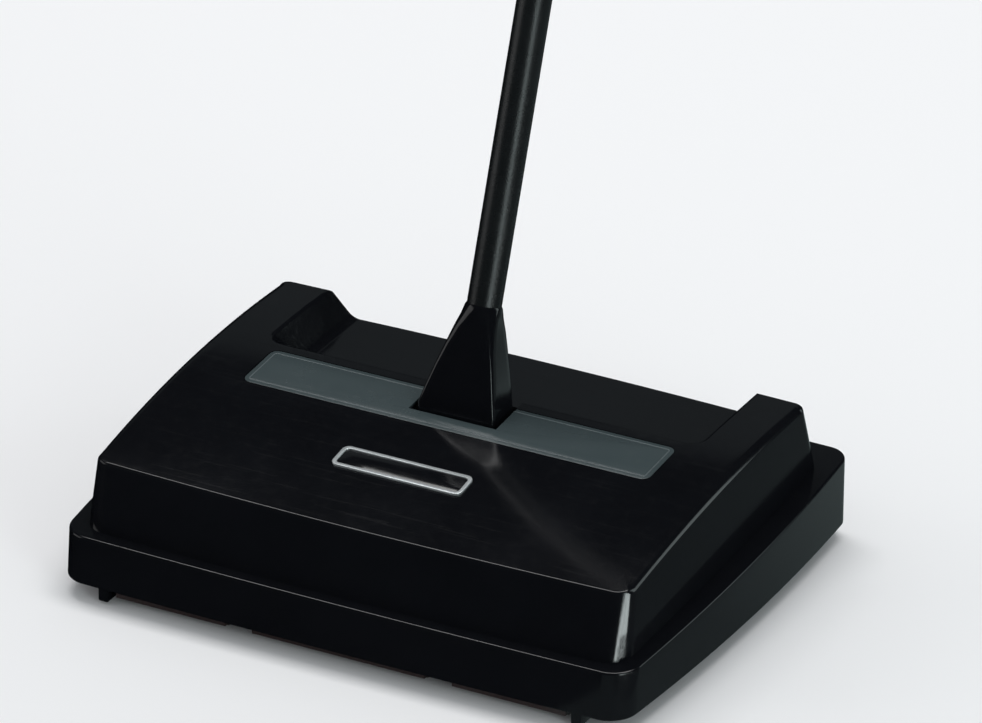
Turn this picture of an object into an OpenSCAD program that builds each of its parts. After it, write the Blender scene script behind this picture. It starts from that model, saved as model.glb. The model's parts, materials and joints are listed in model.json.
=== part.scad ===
/* [Head] */
// Width of the skirt at its widest
head_w = 354.2; // [350:0.2:362]
// Distance from the brush's axis forward to the skirt's lower front edge
skirt_front = 137.8; // [137:0.2:139]
// Distance from the brush's axis back to the skirt's lower rear edge
skirt_rear = 130; // [129.4:0.2:131]
// Height of the skirt's lower edge above the floor
skirt_low = 9.5; // [9:0.5:11]
// Height of the ledge at the front edge
ledge_front = 35.9; // [35:0.1:37]
// Height of the ledge at the rear edge
ledge_rear = 49.7; // [48:0.1:50.5]
// Wall thickness of the mouldings
wall = 2.6; // [2.2:0.1:3]

/* [Hood] */
// Width of the hood at its foot
hood_w = 328.4; // [324:0.2:330]
// Distance from the brush's axis forward to the hood's front foot
hood_front = 127; // [124:0.5:128]
// Distance from the brush's axis back to the hood's rear foot
hood_rear = 114; // [112:0.5:116]
// Height of the crease above the front face
crease_z = 72.5; // [72:0.1:78]
// Height of the hood's top at its rear
crown_z = 90; // [89:0.1:91]

/* [Rear recess] */
// Height of the recess floor
recess_z = 71.5; // [71:0.5:72]
// Width of the recess at the hood's top
recess_w = 263; // [258:1:266]
// Width of the recess floor
recess_floor_w = 241; // [236:1:243]
// Distance from the brush's axis back to the recess's front edge
recess_front = 26; // [25:0.5:28]

/* [Window panel and badge] */
// Width of the grey window panel
window_w = 246; // [238:1:250]
// Front edge of the panel, ahead of the brush's axis
window_front = 18.5; // [17:0.5:19]
// Rear edge of the panel, behind the brush's axis
window_rear = 17.8; // [16:0.2:18.4]
// Length of the plain badge on the front slope
badge_w = 78; // [60:1:90]

/* [Handle] */
// Lean of the handle from upright at rest
lean = 19.6; // [18:0.1:20]
// Outer diameter of the handle tubes
tube_d = 19; // [18.6:0.1:19.2]
// Distance from the pivot to the top of the yoke
yoke_h = 71; // [68:0.5:74]
// Width of the yoke where it enters the slot
yoke_w = 47; // [45:0.5:48]
// Width of the slot in the hood
slot_w = 52.4; // [52:0.2:54]
// Distance from the pivot to the top of the grip
handle_l = 1066; // [1000:2:1100]

/* [Running gear] */
// Outer diameter of the tyres
tyre_d = 60; // [58:0.5:60.5]
// Width of the tyres
tyre_w = 16; // [14:0.5:17]
// Diameter of the wheel axles
axle_d = 5; // [4.6:0.1:5.4]
// Diameter of the brush over its bristles
brush_d = 52; // [50:0.5:52]
// Diameter of the drums that the wheels drive
drum_d = 49; // [47:0.2:49.4]
// Number of bristle rows around the brush
bristle_rows = 4; // [3:1:5]

/* [Dust pans] */
// Height of a pan's floor above the ground
pan_low = 5; // [4.5:0.5:6]
// Height of a pan's outer wall
pan_wall_h = 20; // [16:1:21]

/* [Hidden] */
$fn = 48;

GLOSS_BLACK = [0.03, 0.033, 0.04];
SATIN_BLACK = [0.07, 0.075, 0.08];
WINDOW_GREY = [0.24, 0.29, 0.3];
SILVER = [0.75, 0.78, 0.79];
STEEL = [0.62, 0.63, 0.65];
RUBBER = [0.05, 0.05, 0.055];
PLASTIC = [0.13, 0.13, 0.14];
BRISTLE = [0.16, 0.15, 0.14];
PAN_BROWN = [0.12, 0.08, 0.08];

skin = 0.01;
run = 0.05;
hw = head_w / 2;
ledge_tilt = atan((ledge_rear - ledge_front) / (skirt_front + skirt_rear));
ledge_mid = ledge_front + skirt_front * tan(ledge_tilt);
skirt_draft = 3.5;
skirt_front_r = 14.5;
skirt_rear_r = 12;
skirt_belly = 0.00033;
belly_y = 20;
edge_r = 0.8;
flange = 11;
front_draft = tan(17);
side_draft = tan(4.2);
foot_belly = 0.0001;
belly_growth = 0.0000052;
rear_draft = tan(21.7);
hood_front_r = 9;
hood_rear_r = 5;
hood_top = 95.5;
end_bow = 2;
crease_bow = 2.7;
rear_bow = 7.1;
crease_y = -115;
crown_y = 86;
crown_sag = 6.1;

pivot_z = 71.5;
slot_centre_z = 87.5;
pivot_y = 11.2 - (slot_centre_z - pivot_z) * tan(lean);
pin_d = 6;
slot_front = 6;
slot_rear = 50;
cradle_wall = 3.4;
cradle_half = slot_w / 2 + 1;
cradle_low = 58.1;
cradle_top = 83.5;
brace_top = 68.7;
brace_low = 65.3;
boss_r = 10.4;
yoke_foot_w = 16;
yoke_front = 14.8;
yoke_back = 10.6;
tube_wall = 0.6;
tube_start = 52;
socket_start = 50;
joint_1 = 360;
joint_2 = 655;
joint_l = 32;
tube_end = handle_l - 28;
grip_l = 128;
grip_d = 27;
eye_r = 6;
eye_out = 12;
eye_t = 8;
eye_w = handle_l + 8;

tyre_r = tyre_d / 2;
hub_r = 24.5;
drum_r = drum_d / 2;
brush_r = brush_d / 2;
brush_z = brush_r + 0.5;
core_r = 12;
rub_gap = 0.4;
wheel_y = sqrt(pow(tyre_r + drum_r + rub_gap, 2) - pow(tyre_r - brush_z, 2));
wheel_x = 133;
frame_in = 118.5;
frame_out = 147;
frame_t = 3;
frame_outer_t = 4;
frame_top = 65.9;
frame_low = 12;
frame_half = 80;
axle_half = 152.5;
spindle_half = 152;
drum_w = 20;

front_hinge_y = 128;
rear_hinge_y = 120.5;
pan_hinge_z = 7.8;
hinge_lip = 5.2;
hinge_lip_low = 5.2;
pan_barrel_r = 4;
pan_wide = 135;
pan_narrow = 116.5;
pan_notch_y = 87.5;
pan_lip_y = 30.5;
pan_lip_z = 17;
pan_t = 2;
rod_d = 3.2;
lug_x = 139;
lug_t = 6;
lug_low = 1.8;
lug_top = 15;
spring_x = 60;
spring_l = 15;

screw_sites = [for (x = [-1, 1]) each [[x * 158, -93], [x * 158, 88],
    [x * 92, -119], [x * 92, 103]]];
screw_strip_y = 98;
frame_sites = [for (x = [-140, 140], y = [-62, 62]) [x, y]];
cradle_sites = [for (x = [-1, 1]) [x * (cradle_half + 7), 44]];

// Outline: a rounded rectangle whose sides and ends bow outwards.
function side_x(q) = (q == 0 || q == 3) ? 1 : -1;
function side_y(q) = q < 2 ? 1 : -1;
function corner_arc(q, ex, ey, r, n) = [
    for (i = [0 : n]) let (a = 90 * q + 90 * i / n)
        [side_x(q) * (ex - r) + r * cos(a), side_y(q) * (ey - r) + r * sin(a)]
];
function between(a, b, n) = [for (i = [1 : n - 1]) a + (b - a) * i / n];
function rounded(ex, ey, r, n = 6, m = 6, rear_r = 0) = [
    for (q = [0 : 3])
        let (r_here = q < 2 && rear_r > 0 ? rear_r : r, q_next = (q + 1) % 4)
            let (r_next = q_next < 2 && rear_r > 0 ? rear_r : r)
                let (here = corner_arc(q, ex, ey, r_here, n), next = corner_arc(q_next, ex, ey, r_next, n))
                    each concat(here, between(here[n], next[0], m))
];
function bowed(ex, y_front, y_rear, r, rear_r, belly, bow_f, bow_r) =
    let (mid = (y_front + y_rear) / 2, ey = (y_rear - y_front) / 2)
        [for (p = rounded(ex, ey, r, rear_r = rear_r))
            let (bow = p[1] < 0 ? bow_f : bow_r, y = mid + p[1])
                [p[0] * (1 - belly / ex * pow(y - belly_y, 2)),
                 mid + p[1] * (1 - bow / ey * pow(p[0] / ex, 2))]];
function skirt_outline(inset, draft) =
    bowed(hw - inset, -skirt_front + inset + draft, skirt_rear - inset, max(skirt_front_r - inset, 6),
          max(skirt_rear_r - inset, 5), skirt_belly, end_bow, end_bow);
function hood_outline(inset, z) =
    let (rise = z - ledge_mid)
        bowed(hood_w / 2 - inset - rise * side_draft,
              -hood_front + inset + (z - ledge_front) * front_draft,
              hood_rear - inset - (z - ledge_rear) * rear_draft,
              max(hood_front_r - inset, 4), max(hood_rear_r - inset, 3),
              foot_belly + rise * belly_growth, crease_bow, rear_bow);
function ledge_at(y) = ledge_mid + y * tan(ledge_tilt);
// Height of the hood's top along the head: a parabola from the crease to the crown.
function hood_z(y) =
    let (t = (y - crease_y) / (crown_y - crease_y))
        crease_z + (crown_z - crease_z) * t + 4 * crown_sag * t * (1 - t);

module slab(points, z = 0) {
    translate([0, 0, z]) linear_extrude(skin) polygon(points);
}

module on_ledge(drop = 0) {
    translate([0, 0, ledge_mid - drop]) rotate([ledge_tilt, 0, 0]) children();
}

module along_x(half) {
    rotate([90, 0, 90]) translate([0, 0, -half]) linear_extrude(2 * half) children();
}

module both_sides() {
    children();
    mirror([1, 0, 0]) children();
}

module rod_x(r, half) {
    rotate([0, 90, 0]) cylinder(r = r, h = 2 * half, center = true);
}

// Everything on the handle is drawn upright about the pivot and leaned back here.
module on_handle() {
    translate([0, pivot_y, pivot_z]) rotate([-lean, 0, 0]) children();
}

module hood_block(inset, drop) {
    step = 12;
    top_line = [for (y = [-144 : step : 144]) [y, hood_z(y) - drop]];
    intersection() {
        hull() {
            slab(hood_outline(inset, 20), 20);
            slab(hood_outline(inset, hood_top), hood_top);
        }
        along_x(hw) polygon(concat([[144, 10], [-144, 10]], top_line));
    }
}

module recess_block(grow) {
    mid = 90;
    floor_half = recess_floor_w / 2 + grow;
    flare = (recess_w - recess_floor_w) / 2 / (crown_z - recess_z);
    top_half = recess_w / 2 + flare * (hood_top - 2 - crown_z) + grow;
    hull() {
        translate([0, mid, recess_z - grow]) linear_extrude(skin)
            polygon([for (p = rounded(floor_half, mid - recess_front - 10 + grow, 9)) p]);
        translate([0, mid, hood_top - 2]) linear_extrude(skin)
            polygon([for (p = rounded(top_half, mid - recess_front + 3 + grow, 9)) p]);
    }
}

module slot_block(half, front, rear) {
    translate([0, 0, 50]) linear_extrude(50)
        polygon([[-half, -front], [half, -front], [half, rear], [-half, rear]]);
}

module window_shape(trim, notch = true) {
    mid_y = (window_rear - window_front) / 2;
    half_d = (window_rear + window_front) / 2 - trim;
    translate([0, mid_y]) difference() {
        polygon(rounded(window_w / 2 - trim, half_d, 5));
        if (notch) translate([-slot_w / 2 - trim, -mid_y - slot_front - trim])
            square([slot_w + 2 * trim, 60]);
    }
}

module on_window(drop) {
    tilt = atan((hood_z(window_rear) - hood_z(-window_front)) / (window_front + window_rear));
    translate([0, 0, hood_z(0) - drop]) rotate([tilt, 0, 0]) children();
}

module hood() {
    color(GLOSS_BLACK) {
        difference() {
            hood_block(0, 0);
            difference() {
                hood_block(wall, wall);
                recess_block(wall);
                for (s = screw_sites) translate([s[0], s[1], 10]) cylinder(d = 9, h = 60);
                for (s = frame_sites) translate([s[0], s[1], frame_top + 2]) cylinder(d = 9, h = 40);
            }
            recess_block(0);
            on_ledge(60) translate([-hw, -150, 0]) cube([head_w, 300, 60]);
            slot_block(slot_w / 2, slot_front, slot_rear);
            on_window(1.4) linear_extrude(5) window_shape(0, false);
            for (s = screw_sites) translate([s[0], s[1], 10]) cylinder(d = 3, h = ledge_at(s[1]) + 4);
            for (s = frame_sites) translate([s[0], s[1], frame_top - 10]) cylinder(d = 3, h = 21);
            for (s = cradle_sites) translate([s[0], s[1], brace_low]) cylinder(d = 3, h = 5.6);
        }
    }
}

module skirt() {
    color(GLOSS_BLACK) {
        difference() {
            hull() {
                slab(skirt_outline(0, 0), skirt_low);
                on_ledge(edge_r) slab(skirt_outline(0, skirt_draft));
                on_ledge(skin) slab(skirt_outline(edge_r, skirt_draft));
            }
            hull() {
                slab(skirt_outline(wall, 0), skirt_low - 1);
                on_ledge(wall) slab(skirt_outline(wall, skirt_draft));
            }
            linear_extrude(80) intersection() {
                polygon(hood_outline(flange, ledge_mid));
                translate([-hw, -skirt_front]) square([head_w, skirt_front + screw_strip_y]);
            }
            for (s = screw_sites) translate([s[0], s[1], 0]) cylinder(d = 4, h = 60);
        }
        both_sides() pan_lug(-1, front_hinge_y, skirt_front - 2.4);
        both_sides() pan_lug(1, rear_hinge_y, skirt_rear - 2.4);
    }
}

// Lug that carries one end of a pan's hinge rod and shows below the skirt's edge.
module pan_lug(side, hinge_y, root_y) {
    inner_y = hinge_y - 4.6;
    difference() {
        translate([lug_x, side > 0 ? inner_y : -root_y, lug_low])
            cube([lug_t, root_y - inner_y, lug_top - lug_low]);
        translate([lug_x, side * hinge_y, pan_hinge_z]) rod_x(rod_d / 2 + run, 12);
    }
}

module window_panel() {
    color(WINDOW_GREY) on_window(1.4) linear_extrude(1.1) window_shape(0.2);
}

module badge_plate() {
    badge_y = -62;
    tilt = atan((hood_z(badge_y + 10) - hood_z(badge_y - 10)) / 20);
    color(SILVER)
        translate([0, badge_y, hood_z(badge_y) + 0.1]) rotate([tilt, 0, 0]) linear_extrude(1.1)
            polygon(rounded(badge_w / 2, 9, 4));
}

module handle_cradle() {
    outer = [[-16, cradle_low], [-16, cradle_top], [22, cradle_top + 1.4], [32, brace_top], [54, brace_top],
             [54, cradle_low]];
    inner = [[-13.5, cradle_low + 2.4], [-13.5, hood_top], [60, hood_top], [51, cradle_top],
             [51, cradle_low + 2.4]];
    brace_t = recess_z - wall - brace_low;
    color(PLASTIC) difference() {
        union() {
            along_x(cradle_half + cradle_wall) polygon(outer);
            for (s = cradle_sites) {
                translate([s[0], s[1], brace_low]) cylinder(d = 9, h = brace_t);
                translate([s[0] - sign(s[0]) * 2 - 5, s[1] - 4, brace_low]) cube([10, 8, brace_t]);
            }
        }
        along_x(cradle_half) polygon(inner);
        translate([0, pivot_y, pivot_z]) rod_x(pin_d / 2 + run, 60);
        for (s = cradle_sites) translate([s[0], s[1], brace_low - 2]) cylinder(d = 3.2, h = 10);
    }
}

module handle_pin() {
    color(STEEL) translate([0, pivot_y, pivot_z]) difference() {
        rod_x(pin_d / 2, cradle_half + cradle_wall + 3);
        both_sides() translate([cradle_half + cradle_wall + 0.9, 0, 0]) rotate([0, 90, 0]) difference() {
            cylinder(d = 10, h = 0.9);
            cylinder(d = 4.6, h = 0.9);
        }
    }
}

module pin_clips() {
    color(STEEL) translate([0, pivot_y, pivot_z]) both_sides()
        translate([cradle_half + cradle_wall + 0.95, 0, 0]) rotate([0, 90, 0]) difference() {
            cylinder(d = 10, h = 0.8);
            translate([0, 0, -1]) cylinder(d = 4.6, h = 3);
            translate([0, -1.7, -1]) cube([8, 3.4, 3]);
        }
}

// Inverted channel over the two wheels of one side, drawn for the right.
module end_frame() {
    difference() {
        union() {
            translate([frame_in, -frame_half, frame_top])
                cube([frame_out + frame_outer_t - frame_in, 2 * frame_half, 2]);
            for (p = [[frame_in, frame_t], [frame_out, frame_outer_t]])
                translate([p[0], -frame_half, frame_low + 6])
                    cube([p[1], 2 * frame_half, frame_top - frame_low - 6]);
            translate([frame_out, -12, frame_low]) cube([frame_outer_t, 24, 8]);
        }
        for (y = [-1, 1]) translate([135, y * wheel_y, tyre_r]) rod_x(axle_d / 2, 20);
        translate([frame_out, 0, brush_z]) rod_x(4.5, 10);
        translate([frame_in, 0, brush_z]) rod_x(core_r + 3, 10);
        for (s = frame_sites) translate([s[0], s[1], frame_top - 10]) cylinder(d = 3.6, h = 30);
    }
}

module end_frame_right() {
    color(PLASTIC) end_frame();
}

module end_frame_left() {
    color(PLASTIC) mirror([1, 0, 0]) end_frame();
}

module brush_bushes() {
    color(PLASTIC) translate([0, 0, brush_z]) both_sides() rotate([0, 90, 0]) difference() {
        union() {
            translate([0, 0, frame_out]) cylinder(r = 4.5, h = frame_outer_t + 0.5);
            translate([0, 0, frame_out - 1.2]) cylinder(r = 7, h = 1.2);
        }
        translate([0, 0, frame_out - 3]) cylinder(d = axle_d + 2 * run, h = 12);
    }
}

module axle(y) {
    color(STEEL) translate([0, y, tyre_r]) rod_x(axle_d / 2, axle_half);
}

module front_axle() {
    axle(-wheel_y);
}

module rear_axle() {
    axle(wheel_y);
}

module axle_caps() {
    color(STEEL) for (y = [-1, 1]) translate([0, y * wheel_y, tyre_r]) both_sides()
        rotate([0, 90, 0]) difference() {
            translate([0, 0, frame_out + frame_outer_t]) cylinder(d = 7.4, h = 3.2);
            translate([0, 0, frame_out]) cylinder(d = axle_d, h = axle_half - frame_out);
        }
}

module brush_comb() {
    teeth = 38;
    pitch = (2 * frame_in - 10) / teeth;
    comb_y = -22;
    comb_t = 2.2;
    comb_low = 44.5;
    teeth_top = 53.5;
    comb_top = frame_top + 1.6;
    color(PLASTIC) {
        translate([-frame_in, comb_y, teeth_top]) cube([2 * frame_in, comb_t, comb_top - teeth_top]);
        translate([-frame_in, comb_y - 7, comb_top - 2]) cube([2 * frame_in, 7 + comb_t, 2]);
        for (i = [0 : teeth - 1])
            translate([-frame_in + 6 + i * pitch, comb_y, comb_low])
                cube([pitch / 2, comb_t, teeth_top - comb_low]);
    }
}

module pan_rod(y) {
    color(STEEL) translate([0, y, pan_hinge_z]) rod_x(rod_d / 2, lug_x + lug_t + 1.5);
}

module front_pan_rod() {
    pan_rod(-front_hinge_y);
}

module rear_pan_rod() {
    pan_rod(rear_hinge_y);
}

// Closing springs of one pan: close-wound sleeves around the hinge rod, with a leg each on the wall.
module pan_springs(side, hinge_y) {
    leg_in = 2.48;
    color(STEEL) both_sides() translate([spring_x, side * hinge_y, pan_hinge_z]) rotate([0, 90, 0]) {
        difference() {
            translate([0, 0, -spring_l / 2]) cylinder(d = 7, h = spring_l);
            translate([0, 0, -spring_l]) cylinder(d = 4.4, h = 2 * spring_l);
        }
        translate([0, -side * leg_in, -spring_l / 2 + 0.6]) rotate([0, -90, 0]) cylinder(d = 1, h = 15);
    }
}

module front_pan_springs() {
    pan_springs(-1, front_hinge_y);
}

module rear_pan_springs() {
    pan_springs(1, rear_hinge_y);
}

module screw(head_d, shank_d, length) {
    cylinder(d = head_d, h = 2.2);
    cylinder(d = shank_d, h = length);
}

module housing_screws() {
    color(STEEL) for (s = screw_sites)
        translate([s[0], s[1], ledge_at(s[1]) - wall - 2.6]) screw(7, 3, 14);
}

module frame_screws() {
    color(STEEL) for (s = frame_sites) translate([s[0], s[1], frame_top - 2.2]) screw(7, 3, 12);
}

module cradle_screws() {
    color(STEEL) for (s = cradle_sites) translate([s[0], s[1], brace_low - 2.2]) screw(6.5, 3, 7.6);
}

module yoke_slab(w, half, front, back, r) {
    translate([0, (back - front) / 2, w]) linear_extrude(skin) polygon(rounded(half, (front + back) / 2, r, 5, 2));
}

module yoke() {
    color(GLOSS_BLACK) on_handle() difference() {
        union() {
            rod_x(7, cradle_half - 0.5);
            hull() {
                rod_x(boss_r, yoke_w / 2 - 1.5, $fn = 32);
                yoke_slab(yoke_foot_w, yoke_w / 2 - 0.4, yoke_front, yoke_back, 3);
            }
            hull() {
                yoke_slab(yoke_foot_w, yoke_w / 2 - 0.4, yoke_front, yoke_back, 3);
                yoke_slab(46, 15.6, 12.6, 10.4, 3);
                translate([0, 0, yoke_h]) cylinder(d = tube_d + 1.2, h = 2, $fn = 32);
            }
        }
        rod_x(pin_d / 2 + run, 40);
        translate([0, 0, socket_start]) cylinder(d = tube_d, h = 60);
        translate([0, 0, 58]) rotate([-90, 0, 0]) cylinder(d = 3, h = 30);
    }
}

module tube_length(from, to) {
    difference() {
        translate([0, 0, from]) cylinder(d = tube_d, h = to - from);
        translate([0, 0, from - 1]) cylinder(d = tube_d - 2 * tube_wall, h = to - from + 2);
    }
}

// Swaged neck by which a tube plugs into the one below.
module tube_neck(top) {
    neck_d = tube_d - 2 * tube_wall;
    difference() {
        translate([0, 0, top - joint_l]) cylinder(d = neck_d, h = joint_l + 2);
        translate([0, 0, top - joint_l - 1]) cylinder(d = neck_d - 2 * tube_wall, h = joint_l + 4);
    }
}

module tube_lower() {
    color(SATIN_BLACK) on_handle() difference() {
        tube_length(tube_start, joint_1);
        translate([0, 0, 58]) rotate([-90, 0, 0]) cylinder(d = 3, h = 30);
    }
}

module tube_middle() {
    color(SATIN_BLACK) on_handle() {
        tube_length(joint_1 + skin, joint_2);
        tube_neck(joint_1);
    }
}

module tube_upper() {
    color(SATIN_BLACK) on_handle() {
        tube_length(joint_2 + skin, tube_end);
        tube_neck(joint_2);
    }
}

module grip() {
    low = handle_l - grip_l;
    body = [[tube_d / 2, low], [grip_d / 2 - 2.5, low], [grip_d / 2 - 0.8, low + 3], [grip_d / 2, low + 12],
            [grip_d / 2 - 1, low + 60], [grip_d / 2, low + 108], [grip_d / 2, handle_l - 4],
            [grip_d / 2 - 2, handle_l - 1], [tube_d / 2, handle_l - 1]];
    color(RUBBER) on_handle() rotate_extrude() polygon(body);
}

module hanging_cap() {
    color(PLASTIC) on_handle() difference() {
        union() {
            translate([0, 0, tube_end + 0.2]) cylinder(d = tube_d - 0.1, h = handle_l - tube_end - 0.2);
            translate([0, 0, handle_l - 1]) cylinder(d1 = grip_d - 3, d2 = 17, h = 5);
            translate([0, 0, eye_w + 4]) rod_x(eye_out, eye_t / 2);
            translate([-eye_t / 2, -8, handle_l]) cube([eye_t, 16, 6]);
        }
        translate([0, 0, eye_w + 4]) rod_x(eye_r, 20);
    }
}

module yoke_screw() {
    color(STEEL) on_handle() translate([0, 6.5, 58]) rotate([-90, 0, 0]) {
        cylinder(d = 3, h = 5.4);
        translate([0, 0, 4.3]) cylinder(d = 5.6, h = 1.9);
    }
}

module brush_core() {
    color(PLASTIC) translate([0, 0, brush_z]) difference() {
        rod_x(core_r, frame_in + frame_t + 1);
        rod_x(axle_d / 2, 140);
    }
}

module brush_bristles() {
    half = frame_in - 4.5;
    row_w = 5.5;
    root = core_r + 0.1;
    color(BRISTLE) translate([-half, 0, brush_z]) rotate([0, 90, 0])
        linear_extrude(2 * half, twist = 300, slices = 60, segments = 4, $fn = 0)
            for (i = [0 : bristle_rows - 1]) rotate(360 * i / bristle_rows)
                translate([root, -row_w / 2]) square([brush_r - root - 0.3, row_w]);
}

// Drum with ribs, drawn for the right; the wheels rub on it.
module brush_drum() {
    in_x = wheel_x - drum_w / 2;
    rib = 3;
    translate([0, 0, brush_z]) rotate([0, 90, 0]) difference() {
        translate([0, 0, in_x]) rotate_extrude()
            polygon([[axle_d / 2, 0], [8, 0], [8, 6], [drum_r - rib, 6], [drum_r - rib, 0], [drum_r, 0],
                     [drum_r, drum_w], [drum_r - rib, drum_w], [drum_r - rib, 10], [8, 10],
                     [8, drum_w], [axle_d / 2, drum_w]]);
    }
}

module brush_drum_right() {
    color(RUBBER) brush_drum();
}

module brush_drum_left() {
    color(RUBBER) mirror([1, 0, 0]) brush_drum();
}

module brush_spindle() {
    color(STEEL) translate([0, 0, brush_z]) rod_x(axle_d / 2, spindle_half);
}

module wheel_hub(x, y) {
    half = tyre_w / 2;
    openings = 6;
    color(PLASTIC) translate([x, y, tyre_r]) rotate([0, 90, 0]) difference() {
        rotate_extrude()
            polygon([[axle_d / 2 + run, -half - 1], [6, -half - 1], [6, -2], [hub_r - 3, -2], [hub_r - 3, -half],
                     [hub_r, -half], [hub_r, half], [hub_r - 3, half], [hub_r - 3, 2], [6, 2],
                     [6, half + 1], [axle_d / 2 + run, half + 1]]);
        for (i = [0 : openings - 1]) rotate(360 * i / openings) translate([12.5, 0, -5]) cylinder(d = 6.5, h = 10);
    }
}

module wheel_tyre(x, y) {
    half = tyre_w / 2;
    color(RUBBER) translate([x, y, tyre_r]) rotate([0, 90, 0]) rotate_extrude()
        polygon([[hub_r, -half], [tyre_r - 1.6, -half], [tyre_r, -half + 1.6], [tyre_r, half - 1.6],
                 [tyre_r - 1.6, half], [hub_r, half]]);
}

module wheel_hub_front_left() {
    wheel_hub(-wheel_x, -wheel_y);
}

module wheel_tyre_front_left() {
    wheel_tyre(-wheel_x, -wheel_y);
}

module wheel_hub_front_right() {
    wheel_hub(wheel_x, -wheel_y);
}

module wheel_tyre_front_right() {
    wheel_tyre(wheel_x, -wheel_y);
}

module wheel_hub_rear_left() {
    wheel_hub(-wheel_x, wheel_y);
}

module wheel_tyre_rear_left() {
    wheel_tyre(-wheel_x, wheel_y);
}

module wheel_hub_rear_right() {
    wheel_hub(wheel_x, wheel_y);
}

module wheel_tyre_rear_right() {
    wheel_tyre(wheel_x, wheel_y);
}

// Pan drawn for the front: y runs from the brush (small) out to the hinge (large).
module pan_profile(out, trim) {
    polygon([[out - trim, pan_low + trim], [pan_lip_y + 14, pan_low + trim],
             [pan_lip_y + trim * 1.2, pan_lip_z], [pan_lip_y + trim * 1.2, pan_lip_z + trim * 20],
             [out - trim, pan_low + pan_wall_h + trim * 20]]);
}

// Plan of a pan: wide beside the hinge, narrow where it passes between the wheels.
module pan_plan(out, trim) {
    wide = pan_wide - trim;
    narrow = pan_narrow - trim;
    notch = pan_notch_y + trim;
    polygon([[-wide, out + 5], [-wide, notch], [-narrow, notch], [-narrow, 20],
             [narrow, 20], [narrow, notch], [wide, notch], [wide, out + 5]]);
}

module pan_body(out) {
    wall_top = pan_low + pan_wall_h;
    inner_top = 22;
    difference() {
        union() {
            intersection() {
                along_x(pan_wide) pan_profile(out, 0);
                linear_extrude(60) pan_plan(out, 0);
            }
            translate([0, out, pan_hinge_z]) rod_x(pan_barrel_r, pan_wide);
            translate([-pan_wide, out, hinge_lip_low])
                cube([2 * pan_wide, hinge_lip, pan_hinge_z - hinge_lip_low]);
        }
        difference() {
            intersection() {
                along_x(pan_wide) pan_profile(out, pan_t);
                linear_extrude(60) pan_plan(out, pan_t);
            }
            translate([0, out, pan_hinge_z]) rod_x(pan_barrel_r, pan_wide);
        }
        translate([-pan_wide, 0, inner_top]) cube([2 * pan_wide, pan_notch_y + 1, 40]);
        translate([-pan_wide, 0, wall_top]) cube([2 * pan_wide, out + 5, 40]);
        translate([0, out, pan_hinge_z]) rod_x(rod_d / 2 + run, 160);
        both_sides() translate([spring_x - spring_l / 2 - 0.6, out - 5.8, 0])
            cube([spring_l + 1.2, 20, pan_hinge_z + 4.2]);
    }
}

module front_pan() {
    color(PAN_BROWN) mirror([0, 1, 0]) pan_body(front_hinge_y);
}

module rear_pan() {
    color(PAN_BROWN) pan_body(rear_hinge_y);
}

hood();
skirt();
window_panel();
badge_plate();
handle_cradle();
handle_pin();
pin_clips();
end_frame_left();
end_frame_right();
brush_bushes();
front_axle();
rear_axle();
axle_caps();
brush_comb();
front_pan_rod();
rear_pan_rod();
front_pan_springs();
rear_pan_springs();
housing_screws();
frame_screws();
cradle_screws();
yoke();
tube_lower();
tube_middle();
tube_upper();
grip();
hanging_cap();
yoke_screw();
brush_core();
brush_bristles();
brush_drum_left();
brush_drum_right();
brush_spindle();
wheel_hub_front_left();
wheel_tyre_front_left();
wheel_hub_front_right();
wheel_tyre_front_right();
wheel_hub_rear_left();
wheel_tyre_rear_left();
wheel_hub_rear_right();
wheel_tyre_rear_right();
front_pan();
rear_pan();
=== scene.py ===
import math
import random
import bmesh
import bpy
from mathutils import Matrix, Vector
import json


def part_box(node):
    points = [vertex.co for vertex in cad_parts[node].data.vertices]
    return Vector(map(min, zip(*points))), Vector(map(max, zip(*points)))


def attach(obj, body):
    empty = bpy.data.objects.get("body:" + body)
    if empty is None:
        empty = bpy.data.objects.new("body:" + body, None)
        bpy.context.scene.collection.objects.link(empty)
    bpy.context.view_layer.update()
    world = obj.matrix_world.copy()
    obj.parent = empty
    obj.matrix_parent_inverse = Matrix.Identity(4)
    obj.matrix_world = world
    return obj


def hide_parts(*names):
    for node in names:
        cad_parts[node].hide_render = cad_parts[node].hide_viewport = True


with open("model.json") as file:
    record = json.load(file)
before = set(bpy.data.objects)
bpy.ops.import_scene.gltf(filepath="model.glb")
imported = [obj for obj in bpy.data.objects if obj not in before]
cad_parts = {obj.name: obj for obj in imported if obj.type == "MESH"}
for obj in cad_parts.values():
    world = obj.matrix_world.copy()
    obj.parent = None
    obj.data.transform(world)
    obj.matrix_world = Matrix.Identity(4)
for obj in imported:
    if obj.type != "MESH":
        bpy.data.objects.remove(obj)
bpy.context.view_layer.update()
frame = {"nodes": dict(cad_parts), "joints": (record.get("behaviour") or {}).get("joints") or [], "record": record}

MM = 0.001
random.seed(7)


# ---------------------------------------------------------------- sizes, read from the frame

def span(node):
    """Half width, front, rear and bottom of a CAD node, in millimetres."""
    lo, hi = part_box(node)
    return hi[0] / MM, lo[1] / MM, hi[1] / MM, lo[2] / MM


JOINTS = {j["name"]: j for j in frame["joints"]}
SKIRT_HALF, SKIRT_FRONT, SKIRT_REAR, LUG_LOW = span("skirt")
PANEL_HALF, PANEL_FRONT, PANEL_REAR = span("window_panel")[:3]
BADGE_HALF = span("badge_plate")[0]
PIVOT = [v / MM for v in JOINTS["handle_tilt"]["pos_m"]]
HINGE_Y = {-1: -JOINTS["front_pan_drop"]["pos_m"][1] / MM, 1: JOINTS["rear_pan_drop"]["pos_m"][1] / MM}
PAN_Z = JOINTS["front_pan_drop"]["pos_m"][2] / MM

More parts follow.
